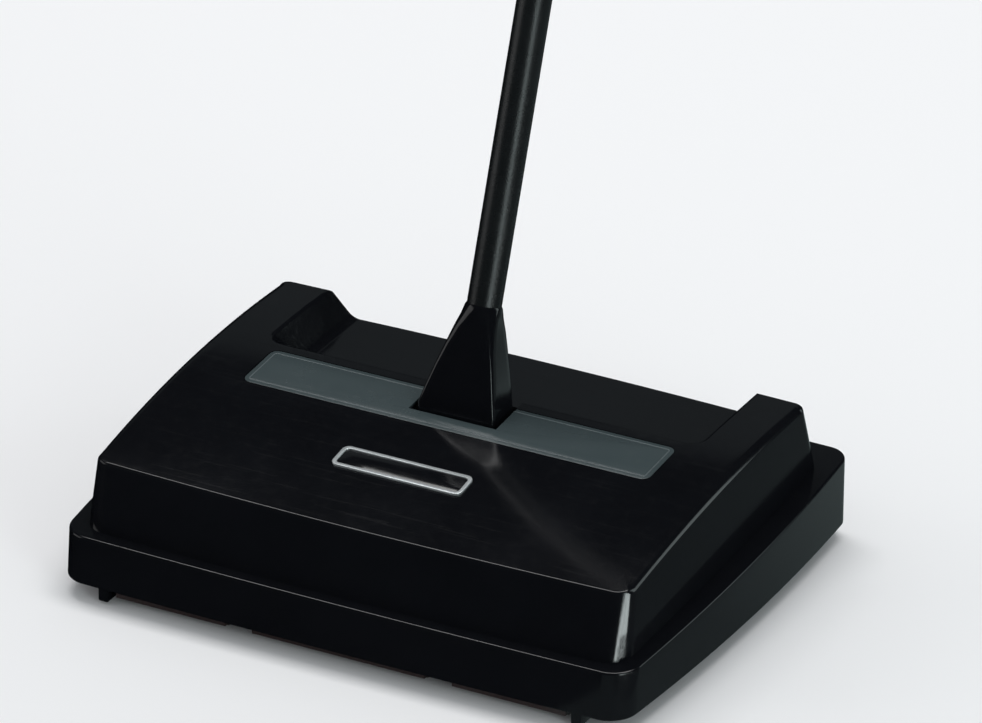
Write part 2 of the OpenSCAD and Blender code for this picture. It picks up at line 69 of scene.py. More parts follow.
# The housing's own sizes, in millimetres; y runs from the front (negative) to the rear.
WALL = 2.6
SKIRT_LOW = 9.5
LEDGE_FRONT = 35.9
LEDGE_REAR = 49.7
LEDGE_SLOPE = (LEDGE_REAR - LEDGE_FRONT) / (SKIRT_REAR - SKIRT_FRONT)
LEDGE_MID = LEDGE_FRONT - SKIRT_FRONT * LEDGE_SLOPE
SKIRT_DRAFT = 3.5
BELLY_Y = 20.0
SKIRT_BELLY = 0.00033
SKIRT_BOW = 2.0
SKIRT_FRONT_R = 14.5
SKIRT_REAR_R = 12.0
HOOD_FOOT_HALF = 164.2
HOOD_FOOT_FRONT = -127.0
HOOD_FOOT_REAR = 114.0
HOOD_LIMIT = 95.5
HOOD_BASE = 20.0
HOOD_BELLY = 0.00012
HOOD_FRONT_BOW = 2.7
HOOD_REAR_BOW = 7.1
HOOD_REAR_R = 6.5
CREASE_R = 6.0
CORNER_SPREAD = 0.14
CREASE_Y = -115.0
CREASE_Z = 72.5
CROWN_Y = 86.0
CROWN_SAG = 6.1
CROWN_Z = 90.0
FRONT_DRAFT = math.tan(math.radians(17))
SIDE_DRAFT = math.tan(math.radians(3.4))
REAR_DRAFT = math.tan(math.radians(21.7))
RECESS_Z = 71.5
RECESS_FLOOR_HALF = 120.5
RECESS_HALF = 131.5
RECESS_MID = 90.0
RECESS_FRONT = 26.0
SLOT_HALF = 26.2
SLOT_FRONT = -6.0
SLOT_REAR = 50.0
LEAN = math.radians(19.6)


def ledge_z(y):
    return LEDGE_MID + y * LEDGE_SLOPE


def hood_z(y):
    t = (y - CREASE_Y) / (CROWN_Y - CREASE_Y)
    return CREASE_Z + (CROWN_Z - CREASE_Z) * t + 4 * CROWN_SAG * t * (1 - t)


# ---------------------------------------------------------------- mesh helpers

CORNER_STEPS = 14
SIDE_STEPS = 22
CORNER_PULL = 0.72


def rounded(ex, ey, r, n=CORNER_STEPS, m=SIDE_STEPS, rear_r=None):
    """Rounded rectangle as a list of points, the same number for any size."""
    points = []

    def corner(q, angle):
        radius = rear_r if q < 2 and rear_r else r
        sx = 1 if q in (0, 3) else -1
        sy = 1 if q < 2 else -1
        a = math.radians(angle)
        return (sx * (ex - radius) + radius * math.cos(a), sy * (ey - radius) + radius * math.sin(a))

    for q in range(4):
        arc = [corner(q, 90 * q + 90 * i / n) for i in range(n + 1)]
        nq = (q + 1) % 4
        nxt = corner(nq, 90 * nq)
        points += arc
        for i in range(1, m):
            f = i / m
            x, y = arc[-1]
            points.append((x + (nxt[0] - x) * f, y + (nxt[1] - y) * f))
    return points


def bowed(ex, front, rear, r, rear_r, belly, bow_f, bow_r):
    """Rounded rectangle whose ends bow outwards and whose sides are fullest at BELLY_Y."""
    mid = (front + rear) / 2
    ey = (rear - front) / 2
    points = []
    for x, y in rounded(ex, ey, r, rear_r=rear_r):
        bow = bow_f if y < 0 else bow_r
        points.append((x * (1 - belly / ex * (mid + y - BELLY_Y) ** 2),
                       mid + y * (1 - bow / ey * (x / ex) ** 2)))
    return points


def skirt_outline(inset, draft):
    return bowed(SKIRT_HALF - inset, SKIRT_FRONT + inset + draft, SKIRT_REAR - inset,
                 max(SKIRT_FRONT_R - inset, 6), max(SKIRT_REAR_R - inset, 5), SKIRT_BELLY, SKIRT_BOW,
                 SKIRT_BOW)


def hood_outline(inset, z):
    """The hood's outline at a height; its front corners grow rounder towards the foot."""
    rise = z - LEDGE_MID
    half = HOOD_FOOT_HALF - inset - rise * SIDE_DRAFT
    front = HOOD_FOOT_FRONT + inset + (z - LEDGE_FRONT) * FRONT_DRAFT
    rear = HOOD_FOOT_REAR - inset - (z - LEDGE_REAR) * REAR_DRAFT
    front_r = max(CREASE_R + (HOOD_LIMIT - z) * CORNER_SPREAD - inset, 3)
    return bowed(half, front, rear, front_r, max(HOOD_REAR_R - inset, 3), HOOD_BELLY, HOOD_FRONT_BOW,
                 HOOD_REAR_BOW - rise * 0.1)


def outward(points):
    """Unit outward normal at each point of a closed outline."""
    count = len(points)
    normals = []
    for i in range(count):
        x0, y0 = points[i - 1]
        x1, y1 = points[(i + 1) % count]
        tangent = Vector((x1 - x0, y1 - y0))
        tangent.normalize()
        normals.append(Vector((tangent.y, -tangent.x)))
    return normals


def conic(a, corner, b, steps):
    """Points of a rounded corner from a to b; the corner point pulls the curve."""
    points = []
    for i in range(steps + 1):
        t = i / steps
        wa = (1 - t) ** 2
        wc = 2 * CORNER_PULL * t * (1 - t)
        wb = t ** 2
        points.append((a * wa + corner * wc + b * wb) / (wa + wc + wb))
    return points


def new_object(name, verts, faces, scale=MM):
    mesh = bpy.data.meshes.new(name)
    mesh.from_pydata([tuple(c * scale for c in v) for v in verts], [], faces)
    mesh.validate()
    mesh.update()
    obj = bpy.data.objects.new(name, mesh)
    bpy.context.scene.collection.objects.link(obj)
    return obj


def dress(obj, slot, body):
    """Material, slot and body of a finished piece."""
    obj.data.materials.clear()
    obj.data.materials.append(MATERIALS[slot])
    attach(obj, body)


def rings_to_mesh(rings, closed_ring=False, cap_start=False, cap_end=False):
    """Verts and faces of a tube of rings that all have the same number of points."""
    count = len(rings[0])
    verts = [p for ring in rings for p in ring]
    faces = []
    rows = len(rings) if closed_ring else len(rings) - 1
    for r in range(rows):
        nr = (r + 1) % len(rings)
        for i in range(count):
            j = (i + 1) % count
            faces.append((r * count + i, r * count + j, nr * count + j, nr * count + i))
    if cap_start:
        faces.append(tuple(reversed(range(count))))
    if cap_end:
        faces.append(tuple((len(rings) - 1) * count + i for i in range(count)))
    return verts, faces


def clean(obj, merge=0.00001):
    bm = bmesh.new()
    bm.from_mesh(obj.data)
    bmesh.ops.remove_doubles(bm, verts=bm.verts, dist=merge)
    bmesh.ops.dissolve_degenerate(bm, edges=bm.edges, dist=merge)
    bmesh.ops.recalc_face_normals(bm, faces=bm.faces)
    bm.to_mesh(obj.data)
    bm.free()


def apply_modifiers(obj):
    depsgraph = bpy.context.evaluated_depsgraph_get()
    mesh = bpy.data.meshes.new_from_object(obj.evaluated_get(depsgraph))
    old = obj.data
    obj.modifiers.clear()
    obj.data = mesh
    bpy.data.meshes.remove(old)


def cut(obj, cutter):
    modifier = obj.modifiers.new("cut", "BOOLEAN")
    modifier.operation = "DIFFERENCE"
    modifier.solver = "MANIFOLD"
    modifier.object = cutter
    apply_modifiers(obj)
    mesh = cutter.data
    bpy.data.objects.remove(cutter)
    bpy.data.meshes.remove(mesh)


def bevel(obj, width, segments, angle):
    modifier = obj.modifiers.new("round", "BEVEL")
    modifier.width = width * MM
    modifier.segments = segments
    modifier.limit_method = "ANGLE"
    modifier.angle_limit = math.radians(angle)
    modifier.miter_outer = "MITER_ARC"
    apply_modifiers(obj)


def smooth(obj, angle):
    obj.data.shade_smooth()
    for edge in obj.data.edges:
        edge.use_edge_sharp = False
    bm = bmesh.new()
    bm.from_mesh(obj.data)
    for edge in bm.edges:
        if len(edge.link_faces) != 2 or edge.calc_face_angle(0) > math.radians(angle):
            edge.smooth = False
    bm.to_mesh(obj.data)
    bm.free()


def weighted(obj):
    modifier = obj.modifiers.new("normals", "WEIGHTED_NORMAL")
    modifier.keep_sharp = True
    apply_modifiers(obj)


def place(obj, matrix):
    obj.data.transform(matrix)


def handle_matrix():
    """From millimetres upright about the pivot to metres in the row frame."""
    lean = Matrix.Rotation(-LEAN, 4, "X")
    return Matrix.Translation(Vector(PIVOT) * MM) @ lean @ Matrix.Scale(MM, 4)


def lathe(name, profile, steps, matrix):
    """Turned hollow piece about the local Z axis; profile is a list of (radius, z)."""
    angles = [2 * math.pi * i / steps for i in range(steps)]
    rings = [[(radius * math.cos(a), radius * math.sin(a), z) for a in angles] for radius, z in profile]
    verts, faces = rings_to_mesh(rings, closed_ring=True)
    obj = new_object(name, verts, faces, scale=1.0)
    clean(obj, 0.0005)
    place(obj, matrix)
    smooth(obj, 32)
    return obj


def join(name, parts):
    """One object from several, in the row frame."""
    bm = bmesh.new()
    for part in parts:
        bm.from_mesh(part.data)
    mesh = bpy.data.meshes.new(name)
    bm.to_mesh(mesh)
    bm.free()
    for part in parts:
        old = part.data
        bpy.data.objects.remove(part)
        bpy.data.meshes.remove(old)
    obj = bpy.data.objects.new(name, mesh)
    bpy.context.scene.collection.objects.link(obj)
    return obj


def box_object(name, lo, hi):
    x0, y0, z0 = lo
    x1, y1, z1 = hi
    verts = [(x0, y0, z0), (x1, y0, z0), (x1, y1, z0), (x0, y1, z0),
             (x0, y0, z1), (x1, y0, z1), (x1, y1, z1), (x0, y1, z1)]
    faces = [(0, 3, 2, 1), (4, 5, 6, 7), (0, 1, 5, 4), (1, 2, 6, 5), (2, 3, 7, 6), (3, 0, 4, 7)]
    return new_object(name, verts, faces)


# ---------------------------------------------------------------- materials

def noise(nodes, links, coords, scale, detail=3.0, rough=0.5):
    node = nodes.new("ShaderNodeTexNoise")
    node.inputs["Scale"].default_value = scale
    node.inputs["Detail"].default_value = detail
    node.inputs["Roughness"].default_value = rough
    links.new(coords, node.inputs["Vector"])
    return node.outputs["Fac"]


def remap(nodes, links, value, lo, hi, to_lo, to_hi):
    node = nodes.new("ShaderNodeMapRange")
    node.inputs["From Min"].default_value = lo
    node.inputs["From Max"].default_value = hi
    node.inputs["To Min"].default_value = to_lo
    node.inputs["To Max"].default_value = to_hi
    links.new(value, node.inputs["Value"])
    return node.outputs["Result"]


def mix_color(nodes, links, fac, a, b):
    node = nodes.new("ShaderNodeMix")
    node.data_type = "RGBA"
    links.new(fac, node.inputs["Factor"])
    node.inputs["A"].default_value = (*a, 1)
    node.inputs["B"].default_value = (*b, 1)
    return node.outputs["Result"]


def math_node(nodes, links, operation, a, b):
    node = nodes.new("ShaderNodeMath")
    node.operation = operation
    for socket, value in zip(node.inputs, (a, b)):
        if isinstance(value, (int, float)):
            socket.default_value = value
        else:
            links.new(value, socket)
    return node.outputs["Value"]


def material(name, color, rough, metallic=0.0, worn=None, rough_spread=0.06, grain=0.0,
             grain_scale=900.0, scratch=0.0, dust=0.0, stretch=(1, 1, 1)):
    """Procedural surface: worn tint, uneven roughness, grain, fine scratches and settled dust."""
    mat = bpy.data.materials.new(name)
    mat.use_nodes = True
    nodes = mat.node_tree.nodes
    links = mat.node_tree.links
    shader = nodes["Principled BSDF"]
    shader.inputs["Metallic"].default_value = metallic
    coords = nodes.new("ShaderNodeTexCoord").outputs["Object"]
    mapping = nodes.new("ShaderNodeMapping")
    mapping.inputs["Scale"].default_value = stretch
    links.new(coords, mapping.inputs["Vector"])
    coords = mapping.outputs["Vector"]
    broad = noise(nodes, links, coords, 18.0, 4.0, 0.6)
    fine = noise(nodes, links, coords, 160.0, 4.0, 0.65)
    worn = worn or tuple(min(1.0, c * 1.35 + 0.004) for c in color)
    tint = mix_color(nodes, links, remap(nodes, links, broad, 0.35, 0.75, 0.0, 1.0), color, worn)
    roughness = remap(nodes, links, broad, 0.25, 0.75, rough - rough_spread, rough + rough_spread)
    speck = remap(nodes, links, fine, 0.3, 0.7, -rough_spread * 0.4, rough_spread * 0.4)
    roughness = math_node(nodes, links, "ADD", roughness, speck)
    if scratch:
        lines = nodes.new("ShaderNodeTexNoise")
        lines.inputs["Scale"].default_value = 60.0
        lines.inputs["Detail"].default_value = 6.0
        lines.inputs["Distortion"].default_value = 0.4
        squash = nodes.new("ShaderNodeMapping")
        squash.inputs["Rotation"].default_value = (0.3, 0.2, 0.5)
        squash.inputs["Scale"].default_value = (0.25, 9.0, 4.0)
        links.new(coords, squash.inputs["Vector"])
        links.new(squash.outputs["Vector"], lines.inputs["Vector"])
        mask = remap(nodes, links, lines.outputs["Fac"], 0.60, 0.64, 0.0, 1.0)
        dulled = math_node(nodes, links, "MULTIPLY", mask, scratch)
        roughness = math_node(nodes, links, "ADD", roughness, dulled)
    if dust:
        normal = nodes.new("ShaderNodeNewGeometry").outputs["Normal"]
        split = nodes.new("ShaderNodeSeparateXYZ")
        links.new(normal, split.inputs["Vector"])
        up = remap(nodes, links, split.outputs["Z"], 0.3, 1.0, 0.0, 1.0)
        spread = remap(nodes, links, fine, 0.52, 0.72, 0.0, 1.0)
        settled = math_node(nodes, links, "MULTIPLY", up, spread)
        amount = math_node(nodes, links, "MULTIPLY", settled, dust)
        layer = nodes.new("ShaderNodeMix")
        layer.data_type = "RGBA"
        links.new(amount, layer.inputs["Factor"])
        links.new(tint, layer.inputs["A"])
        layer.inputs["B"].default_value = (0.32, 0.31, 0.29, 1)
        tint = layer.outputs["Result"]
        dulled = math_node(nodes, links, "MULTIPLY", amount, 0.5)
        roughness = math_node(nodes, links, "ADD", roughness, dulled)
    if grain:
        height = noise(nodes, links, coords, grain_scale, 2.0, 0.5)
        bump = nodes.new("ShaderNodeBump")
        bump.inputs["Strength"].default_value = grain
        bump.inputs["Distance"].default_value = 0.0002
        links.new(height, bump.inputs["Height"])
        links.new(bump.outputs["Normal"], shader.inputs["Normal"])
    links.new(tint, shader.inputs["Base Color"])
    links.new(roughness, shader.inputs["Roughness"])
    return mat


MATERIALS = {
    "gloss_black": material("gloss_black", (0.0041, 0.0045, 0.0058), 0.13, worn=(0.0050, 0.0056, 0.0073),
                            rough_spread=0.03, grain=0.02, grain_scale=1400, scratch=0.05, dust=0.004),
    "window_grey": material("window_grey", (0.046, 0.063, 0.067), 0.26, worn=(0.051, 0.069, 0.073),
                            rough_spread=0.03, grain=0.03, grain_scale=2200, dust=0.01),
    "window_grey+rim": material("window_rim", (0.085, 0.105, 0.11), 0.3, rough_spread=0.04),
    "silver": material("silver", (0.62, 0.65, 0.66), 0.3, metallic=0.6, worn=(0.56, 0.6, 0.61),
                       rough_spread=0.05, grain=0.05, grain_scale=1500),
    "black_plastic": material("black_plastic", (0.016, 0.016, 0.018), 0.45, rough_spread=0.07, grain=0.25,
                              grain_scale=1100, dust=0.03),
    "hub_grey": material("hub_grey", (0.05, 0.052, 0.056), 0.42, rough_spread=0.07, grain=0.2, dust=0.04),
    "pan_plastic": material("pan_plastic", (0.028, 0.019, 0.019), 0.34, rough_spread=0.07, grain=0.12,
                            scratch=0.12, dust=0.05),
    "steel": material("steel", (0.55, 0.55, 0.56), 0.27, metallic=1.0, worn=(0.42, 0.42, 0.43),
                      rough_spread=0.08, scratch=0.1, stretch=(0.2, 1, 1)),
    "satin_tube": material("satin_tube", (0.007, 0.0085, 0.0092), 0.27, worn=(0.009, 0.011, 0.012),
                           rough_spread=0.04, grain=0.5, grain_scale=1500, scratch=0.05),
    "grip_rubber": material("grip_rubber", (0.012, 0.012, 0.013), 0.62, rough_spread=0.08, grain=0.5,
                            grain_scale=1300, dust=0.03),
    "tyre_rubber": material("tyre_rubber", (0.015, 0.015, 0.016), 0.7, worn=(0.03, 0.029, 0.028),
                            rough_spread=0.1, grain=0.5, dust=0.08),
    "drum_rubber": material("drum_rubber", (0.02, 0.019, 0.018), 0.66, rough_spread=0.1, grain=0.4,
                            dust=0.06),
    "bristle": material("bristle", (0.022, 0.02, 0.019), 0.42, worn=(0.07, 0.062, 0.055), rough_spread=0.08),
}


# ---------------------------------------------------------------- skirt and hood

def wall_rings(outline_low, z_low, outline_high, z_high):
    """Function that gives the wall's point i at height z."""
    def point(i, z):
        f = (z - z_low) / (z_high - z_low)
        ax, ay = outline_low[i]
        bx, by = outline_high[i]
        return Vector((ax + (bx - ax) * f, ay + (by - ay) * f, z))
    return point


def wall_meets(point, i, height_at, z=50.0):
    """Where the wall's line i reaches a height that depends on y."""
    for _ in range(8):
        z = height_at(point(i, z).y)
    return point(i, z)


def inward_step(p, normal, distance, height_at):
    q = Vector((p.x - normal.x * distance, p.y - normal.y * distance, 0))
    q.z = height_at(q.y)
    return q


def spine_share(i):
    """Where point i of an outline meets the middle line, from 1 at the right to -1 at the left."""
    q, j = divmod(i, CORNER_STEPS + SIDE_STEPS)
    along = max(0.0, (j - CORNER_STEPS) / SIDE_STEPS)
    return (1 - 2 * along, -1, -1 + 2 * along, 1)[q]


def hood_solid(name, inset, drop, fine):
    """Closed solid of the hood's outer form (or, inset, of its hollow), without recess and slot."""
    low = hood_outline(inset, HOOD_BASE)
    high = hood_outline(inset, HOOD_LIMIT)
    point = wall_rings(low, HOOD_BASE, high, HOOD_LIMIT)
    normals = outward(high)
    count = len(low)

    def top_at(y):
        return hood_z(y) - drop

    def foot_at(y):
        return ledge_z(y) - (0.0 if fine else 1.0)

    columns = []
    for i in range(count):
        foot = wall_meets(point, i, foot_at)
        corner = wall_meets(point, i, top_at, 75)
        facing_front = max(0.0, -normals[i].y)
        facing_rear = max(0.0, normals[i].y)
        radius = 5.0 - 3.9 * min(1.0, facing_front * 1.6) ** 2 - 2.6 * min(1.0, facing_rear * 1.6)
        if not fine:
            radius = 1.5
        below = corner + (foot - corner).normalized() * radius
        inside = inward_step(corner, normals[i], radius, top_at)
        column = [foot + (below - foot) * f for f in (0, 0.25, 0.5, 0.75)]
        column += conic(below, corner, inside, 7 if fine else 3)
        spine = Vector((55.0 * spine_share(i), -8.0, 0))
        loops = 26 if fine else 8
        for k in range(1, loops + 1):
            t = k / loops
            q = inside.lerp(spine, t)
            q.z = top_at(q.y)
            column.append(q)
        columns.append(column)
    rings = [[columns[i][k] for i in range(count)] for k in range(len(columns[0]))]
    verts, faces = rings_to_mesh(rings, cap_start=True)
    obj = new_object(name, [tuple(v) for v in verts], faces)
    clean(obj)
    return obj


def recess_solid(name, grow, rim):
    """Cutter of the rear recess; rim rounds its upper edge onto the hood's top."""
    half_y = RECESS_MID - RECESS_FRONT
    limit = HOOD_LIMIT - 2
    flare = (RECESS_HALF - RECESS_FLOOR_HALF) / (CROWN_Z - RECESS_Z)
    top_half = RECESS_HALF + flare * (limit - CROWN_Z)
    low = [(x, y + RECESS_MID) for x, y in rounded(RECESS_FLOOR_HALF + grow, half_y - 10 + grow, 9)]
    high = [(x, y + RECESS_MID) for x, y in rounded(top_half + grow, half_y + 3 + grow, 9)]
    floor_z = RECESS_Z - grow
    point = wall_rings(low, floor_z, high, limit)
    normals = outward(low)
    columns = []
    for i in range(len(low)):
        bottom = point(i, floor_z)
        corner = wall_meets(point, i, hood_z, 88)
        up = (corner - bottom).normalized()
        inner = Vector((bottom.x - normals[i].x * 4, bottom.y - normals[i].y * 4, floor_z))
        column = [inner.lerp(Vector((0, RECESS_MID + 10, floor_z)), 0.5)]
        column += conic(inner, bottom, bottom + up * 4, 6)
        column += [bottom + (corner - bottom) * f for f in (0.35, 0.6)]
        if rim:
            over = Vector((corner.x + normals[i].x * rim, corner.y + normals[i].y * rim, 0))
            over.z = hood_z(over.y) + 0.03
            column += conic(corner - up * rim, corner + Vector((0, 0, 0.03)), over, 7)
            column.append(Vector((over.x, over.y, 108)))
        else:
            column += [corner, point(i, 108)]
        columns.append(column)
    count = len(columns)
    rings = [[columns[i][k] for i in range(count)] for k in range(len(columns[0]))]
    verts, faces = rings_to_mesh(rings, cap_start=True, cap_end=True)
    obj = new_object(name, [tuple(v) for v in verts], faces)
    clean(obj)
    return obj


def prism(name, points, z0, z1):
    rings = [[(x, y, z0) for x, y in points], [(x, y, z1) for x, y in points]]
    verts, faces = rings_to_mesh(rings, cap_start=True, cap_end=True)
    obj = new_object(name, verts, faces)
    clean(obj)
    return obj


def panel_plane():
    """Matrix from panel millimetres to the row frame's millimetres: the hood's top under the panel."""
    slope = (hood_z(PANEL_REAR) - hood_z(PANEL_FRONT)) / (PANEL_REAR - PANEL_FRONT)
    return Matrix.Translation((0, 0, hood_z(0))) @ Matrix.Rotation(math.atan(slope), 4, "X")


def tilted(obj):
    scale = Matrix.Scale(MM, 4)
    place(obj, scale @ panel_plane() @ scale.inverted())
    return obj


def panel_outline(inset, r=5.0):
    mid = (PANEL_FRONT + PANEL_REAR) / 2
    half = (PANEL_REAR - PANEL_FRONT) / 2 - inset
    return [(x, y + mid) for x, y in rounded(PANEL_HALF - inset, half, max(r - inset, 1.2), 8, 4)]


def make_hood():
    hood = hood_solid("hood_shell", 0.0, 0.0, True)
    hollow = hood_solid("hood_hollow", WALL, WALL, False)
    cut(hollow, recess_solid("hollow_recess", WALL, 0))
    cut(hood, hollow)
    cut(hood, recess_solid("recess_cut", 0.0, 1.7))
    bevel(hood, 1.1, 3, 42)
    nick = 1.5
    slot = [(-SLOT_HALF, SLOT_FRONT + nick), (-SLOT_HALF + nick, SLOT_FRONT), (SLOT_HALF - nick, SLOT_FRONT),
            (SLOT_HALF, SLOT_FRONT + nick), (SLOT_HALF, SLOT_REAR), (-SLOT_HALF, SLOT_REAR)]
    cut(hood, prism("slot_cut", slot, 55, 114))
    pocket = tilted(prism("pocket_cut", panel_outline(-0.35, 5.3), -1.4, 8))
    cut(hood, pocket)
    clean(hood, 0.000004)
    smooth(hood, 30)
    weighted(hood)
    dress(hood, "gloss_black", "housing")
    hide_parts("hood")


def make_skirt():
    low = skirt_outline(0, 0)
    top = skirt_outline(0, SKIRT_DRAFT)
    inner_low = skirt_outline(WALL, 0)
    inner_top = skirt_outline(WALL, SKIRT_DRAFT)
    opening = [(x, min(y, 98.0)) for x, y in hood_outline(11, LEDGE_MID)]
    foot = hood_outline(0, LEDGE_MID)
    normals = outward(low)
    columns = []
    for i, (x, y) in enumerate(low):
        edge = wall_meets_ledge(low[i], top[i])
        base = Vector((x, y, SKIRT_LOW))
        below = edge + (base - edge).normalized() * 1.2
        inside = inward_step(edge, normals[i], 1.2, ledge_z)
        lip = Vector((base.x - normals[i].x * 1.0, base.y - normals[i].y * 1.0, SKIRT_LOW))
        bottom_corner = conic(lip, base, base + (edge - base).normalized() * 1.0, 3)
        column = bottom_corner + [base.lerp(edge, f) for f in (0.25, 0.5, 0.75)]
        column += conic(below, edge, inside, 6)
        column.append(Vector((foot[i][0], foot[i][1], ledge_z(foot[i][1]))))
        column.append(Vector((opening[i][0], opening[i][1], ledge_z(opening[i][1]))))
        column.append(Vector((opening[i][0], opening[i][1], ledge_z(opening[i][1]) - WALL)))
        ix, iy = inner_top[i]
        column.append(Vector((ix, iy, ledge_z(iy) - WALL)))
        jx, jy = inner_low[i]
        column.append(Vector((jx, jy, SKIRT_LOW + 0.8)))
        column.append(Vector((jx + normals[i].x * 0.7, jy + normals[i].y * 0.7, SKIRT_LOW)))
        columns.append(column)
    count = len(columns)
    rings = [[columns[i][k] for i in range(count)] for k in range(len(columns[0]))]
    verts, faces = rings_to_mesh(rings, closed_ring=True)
    skirt = new_object("skirt_shell", [tuple(v) for v in verts], faces)
    clean(skirt)
    smooth(skirt, 38)
    weighted(skirt)
    lugs = [skirt]
    for side in (-1, 1):
        for end in (-1, 1):
            root = SKIRT_REAR if end > 0 else -SKIRT_FRONT
            y0, y1 = sorted((end * (root - 2.4), end * (HINGE_Y[end] - 4.6)))
            x0, x1 = sorted((side * 139, side * 145))
            lug = box_object("lug", (x0, y0, LUG_LOW), (x1, y1, 15.0))
            bevel(lug, 0.9, 3, 30)
            smooth(lug, 30)
            lugs.append(lug)
    skirt = join("skirt_moulding", lugs)
    dress(skirt, "gloss_black", "housing")
    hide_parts("skirt")


def wall_meets_ledge(low, top):
    """Where the skirt's wall line from its lower edge reaches the ledge."""
    y = low[1]
    for _ in range(8):
        z = ledge_z(y)
        f = (z - SKIRT_LOW) / (ledge_z(top[1]) - SKIRT_LOW)
        y = low[1] + (top[1] - low[1]) * f
    return Vector((low[0] + (top[0] - low[0]) * f, y, z))


# ---------------------------------------------------------------- panel and badge

def make_panel():
    gap = 0.3
    half = SLOT_HALF + gap
    front = SLOT_FRONT - gap
    notch_plan = [(-half, front), (half, front), (half, 60), (-half, 60)]
    body = prism("panel", panel_outline(0.1), -1.35, -0.35)
    raised = prism("panel_face", panel_outline(3.4, 4.4), -0.5, -0.05)
    groove_out = prism("rim", panel_outline(2.5, 4.6), -0.5, -0.12)
    groove_in = prism("rim_in", panel_outline(3.4, 4.4), -1.0, 1.0)
    cut(groove_out, groove_in)
    for part, slot_name, name in ((body, "window_grey", "panel_base"), (raised, "window_grey", "panel_inlay"),
                                  (groove_out, "window_grey+rim", "panel_rim")):
        cut(part, prism("notch", notch_plan, -9, 9))
        bevel(part, 0.16, 2, 30)
        smooth(part, 30)
        tilted(part)
        part.name = name
        dress(part, slot_name, "housing")
        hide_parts("window_panel")


def make_badge():
    half_y = 9.0
    mid_y = -62.0
    slope = (hood_z(mid_y + 10) - hood_z(mid_y - 10)) / 20
    scale = Matrix.Scale(MM, 4)
    seat = Matrix.Translation((0, mid_y, hood_z(mid_y))) @ Matrix.Rotation(math.atan(slope), 4, "X")
    matrix = scale @ seat @ scale.inverted()
    frame_bar = prism("badge_bar", rounded(BADGE_HALF, half_y, 4, 8, 4), -0.3, 1.15)
    inner = prism("badge_field", rounded(BADGE_HALF - 2.2, half_y - 2.2, 2.4, 8, 4), 0.55, 3)
    cut(frame_bar, inner)
    bevel(frame_bar, 0.3, 3, 30)
    smooth(frame_bar, 30)
    place(frame_bar, matrix)
    field = prism("badge_inlay", rounded(BADGE_HALF - 2.35, half_y - 2.35, 2.3, 8, 4), 0.4, 0.75)
    bevel(field, 0.12, 2, 30)
    smooth(field, 30)
    place(field, matrix)
    dress(frame_bar, "silver", "housing")
    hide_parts("badge_plate")
    dress(field, "gloss_black", "housing")


# ---------------------------------------------------------------- handle

def yoke_section(w, half, front, back, r):
    mid = (back - front) / 2
    return [(x, y + mid, w) for x, y in rounded(half, (front + back) / 2, r, 7, 6)]


def make_yoke():
    boss = 10.4
    rings = []
    for k in range(9):
        a = math.radians(-90 + 90 * k / 8)
        w = boss * math.sin(a)
        reach = max(boss * math.cos(a), 0.8)
        f = (w + boss) / (16 + boss)
        rings.append(yoke_section(w, 22.0 + 1.1 * f, reach, reach, min(1.5, reach * 0.9)))
    # height above the pivot, half width, front, back and corner radius of each section
    for section in ((16, 23.1, 14.8, 10.6, 1.6), (26, 20.7, 14.2, 10.6, 1.8), (38, 17.7, 13.3, 10.5, 2.2),
                    (50, 14.5, 12.2, 10.4, 3.0), (60, 12.2, 11.2, 10.3, 5.0), (67, 10.8, 10.6, 10.2, 8.0),
                    (72, 10.25, 10.25, 10.15, 10.1), (73, 9.7, 9.7, 9.7, 9.6),
                    (73, 9.45, 9.45, 9.45, 9.4), (66, 9.45, 9.45, 9.45, 9.4)):
        rings.append(yoke_section(*section))
    verts, faces = rings_to_mesh(rings, cap_start=True, cap_end=True)
    yoke = new_object("yoke_moulding", verts, faces, scale=1.0)
    clean(yoke, 0.0005)
    place(yoke, handle_matrix())
    smooth(yoke, 50)
    dress(yoke, "gloss_black", "handle")
    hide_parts("yoke")


def make_grip():
    low, high = 938.0, 1065.0
    profile = [(9.5, low), (10.6, low), (12.0, low + 1.2), (12.9, low + 3.6), (13.4, low + 8)]
    ribs = 11
    pitch = 7.6
    start = low + 20
    for k in range(ribs):
        z = start + k * pitch
        swell = 0.35 * math.sin(math.pi * k / (ribs - 1))
        profile += [(13.2 - swell, z), (12.2 - swell, z + 0.9), (12.2 - swell, z + 2.3),
                    (13.2 - swell, z + 3.2), (13.3 - swell, z + 5.2)]
    profile += [(13.4, high - 14), (13.5, high - 6), (13.2, high - 2.6), (12.3, high - 0.7), (11.4, high),
                (9.5, high)]
    grip = lathe("grip_sleeve", profile, 56, handle_matrix())
    dress(grip, "grip_rubber", "handle")
    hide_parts("grip")


# ---------------------------------------------------------------- running gear

def spin_matrix(x, y, z):
    """Local Z along +X, at a place in millimetres."""
    turn = Matrix.Rotation(math.radians(90), 4, "Y")
    return Matrix.Translation(Vector((x, y, z)) * MM) @ turn @ Matrix.Scale(MM, 4)


